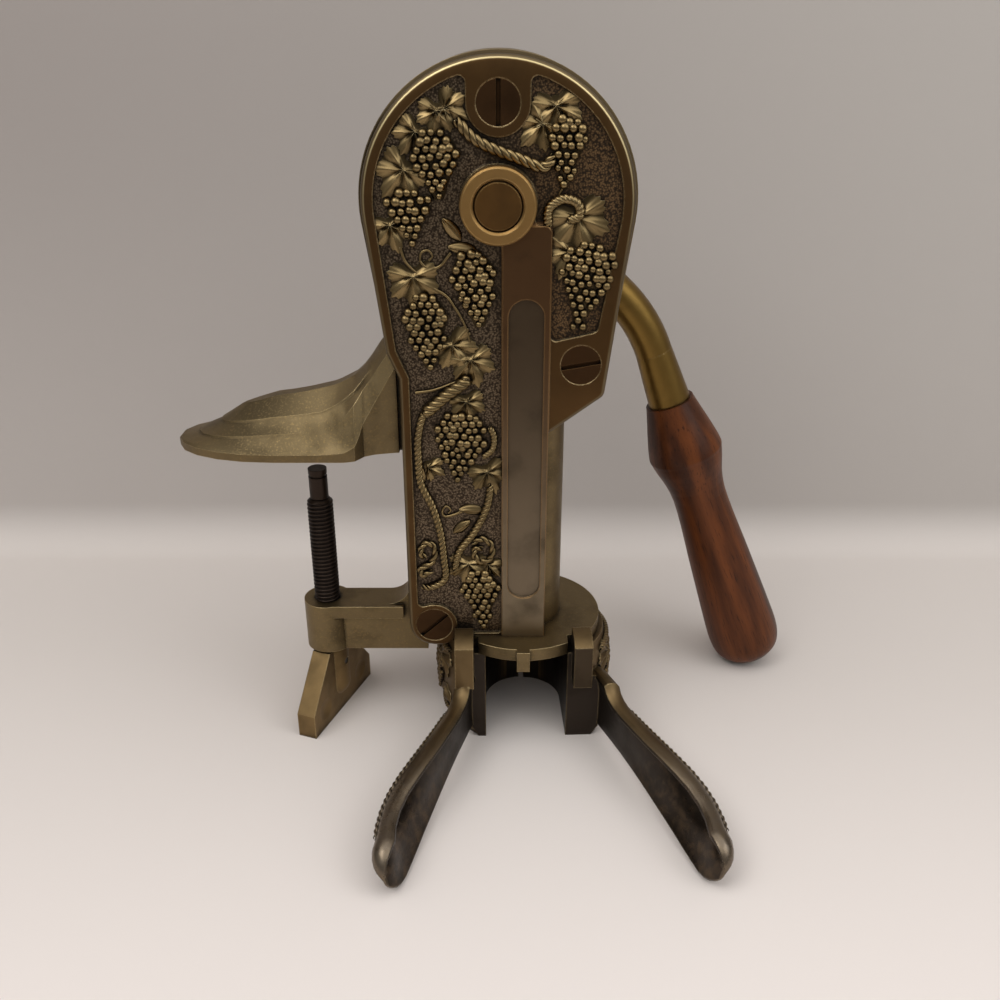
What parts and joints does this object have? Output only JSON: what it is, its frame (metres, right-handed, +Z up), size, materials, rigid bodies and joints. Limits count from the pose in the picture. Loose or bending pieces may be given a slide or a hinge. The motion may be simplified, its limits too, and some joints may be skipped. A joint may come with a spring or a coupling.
{
  "type": "countertop corkscrew",
  "caption": "Lever corkscrew that clamps to a counter edge: vine-ornamented brass body, side lever with a wooden grip, geared worm, hinged bottle jaws and a threaded clamp.",
  "frame": {"origin": "on the underside of the counter pad, above the axis of the clamp screw", "axes": "+Z up, -Y out of the ornamented front, +X towards the lever"},
  "size_m": [0.2567, 0.1663, 0.2676],
  "materials": {
    "body_metal": "antiqued satin",
    "bushing_brass": "satin",
    "lever_brass": "satin",
    "dark_bronze": "dark patina",
    "steel": "oiled",
    "black_steel": "blackened",
    "walnut": "oiled"
  },
  "bodies": {
    "body": {"rear_housing": "body_metal", "front_cover": "body_metal", "cover_screws": "dark_bronze", "front_bushing": "bushing_brass", "rear_bushing": "bushing_brass", "idler_pin": "steel", "idler_clip": "black_steel", "worm_nut": "bushing_brass", "nut_peg": "steel", "bottle_collar": "body_metal", "collar_screws": "dark_bronze", "jaw_pins": "steel"},
    "lever": {"lever_shaft": "dark_bronze", "drive_key": "steel", "drive_gear": "steel", "lever_arm": "lever_brass", "hub_pin": "steel", "hub_screw": "dark_bronze", "grip": "walnut"},
    "idler": {"idler_gear": "steel"},
    "carriage": {"worm_carriage": "steel"},
    "worm_drive": {"worm": "steel", "thrust_washer": "bushing_brass", "worm_retainer": "steel"},
    "jaw_left": {"left_jaw": "body_metal"},
    "jaw_right": {"right_jaw": "body_metal"},
    "nose": {"clamp_nose": "black_steel"},
    "clamp_screw": {"clamp_spindle": "black_steel", "thumb_wing": "lever_brass", "wing_pin": "steel"}
  },
  "joints": [
    {"name": "lever_swing", "type": "hinge", "parent": "body", "child": "lever", "pos_m": [0.0726, 0.004, 0.0934], "axis": [0, -1, 0], "range_deg": [0, 143.24]},
    {"name": "idler_spin", "type": "hinge", "parent": "body", "child": "idler", "pos_m": [0.0686, 0.004, 0.05863], "axis": [0, -1, 0], "range_deg": [-192, 0]},
    {"name": "carriage_feed", "type": "slide", "parent": "body", "child": "carriage", "axis": [0, 0, -1], "range_m": [0, 0.0501]},
    {"name": "worm_spin", "type": "hinge", "parent": "carriage", "child": "worm_drive", "pos_m": [0.0826, 0.004, -0.026], "axis": [0, 0, -1], "range_deg": [0, 2001]},
    {"name": "left_jaw_swing", "type": "hinge", "parent": "body", "child": "jaw_left", "pos_m": [0.0746, 0.028, -0.106], "axis": [0, 0, -1], "range_deg": [-1.6, 2]},
    {"name": "right_jaw_swing", "type": "hinge", "parent": "body", "child": "jaw_right", "pos_m": [0.0906, 0.028, -0.106], "axis": [0, 0, 1], "range_deg": [-2.1, 5.5]},
    {"name": "clamp_feed", "type": "slide", "parent": "body", "child": "nose", "axis": [0, 0, 1], "range_m": [-0.04, 0]},
    {"name": "clamp_turn", "type": "hinge", "parent": "nose", "child": "clamp_screw", "pos_m": [0, 0, -0.066], "axis": [0, 0, 1], "range_deg": [-8229, 0]}
  ],
  "couplings": [
    {"joint": "idler_spin", "follows": "lever_swing", "ratio": -1.3333},
    {"joint": "carriage_feed", "follows": "lever_swing", "m_per_rad": 0.02},
    {"joint": "worm_spin", "follows": "lever_swing", "ratio": 13.963},
    {"joint": "clamp_turn", "follows": "clamp_feed", "rad_per_m": 3590.4}
  ]
}
